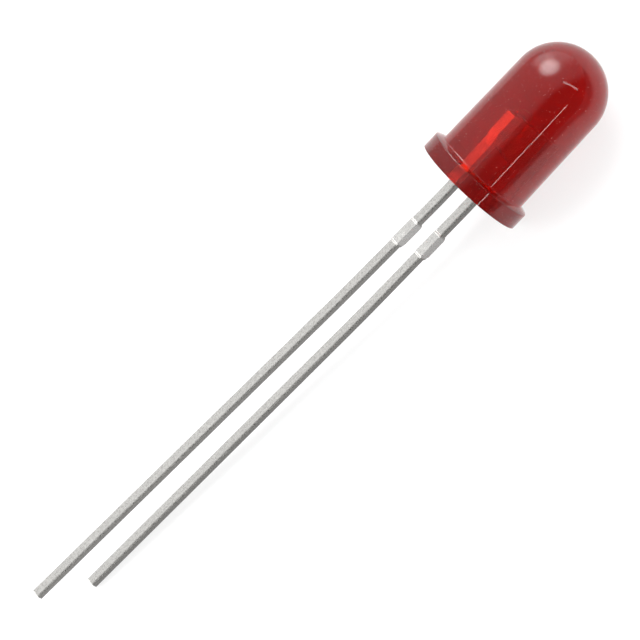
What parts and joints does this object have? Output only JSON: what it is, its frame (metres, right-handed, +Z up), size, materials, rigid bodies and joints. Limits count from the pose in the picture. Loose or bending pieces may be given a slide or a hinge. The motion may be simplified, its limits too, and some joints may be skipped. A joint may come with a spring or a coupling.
{
  "type": "light-emitting diode",
  "caption": "Round red tinted light-emitting diode with a domed clear lens, a flange with a polarity flat and long square stamped leads with stand-off stops.",
  "frame": {"origin": "middle of the footprint on the surface that the part lies on", "axes": "+X along the part towards the domed end, +Z up; the anode lead is above the cathode lead"},
  "size_m": [0.0376, 0.0058, 0.0055],
  "materials": {
    "tinted_epoxy": "clear moulded epoxy, tinted deep red, polished",
    "tinned_steel": "tin plated stamped strip, satin",
    "semiconductor": "sawn crystal, dull",
    "silver_adhesive": "cured silver-filled adhesive, matt",
    "gold_wire": "drawn gold wire, bright"
  },
  "bodies": {
    "root": {"lens": "tinted_epoxy", "anode_lead": "tinned_steel", "cathode_lead": "tinned_steel", "die": "semiconductor", "die_attach": "silver_adhesive", "bond_wire": "gold_wire"}
  },
  "joints": []
}
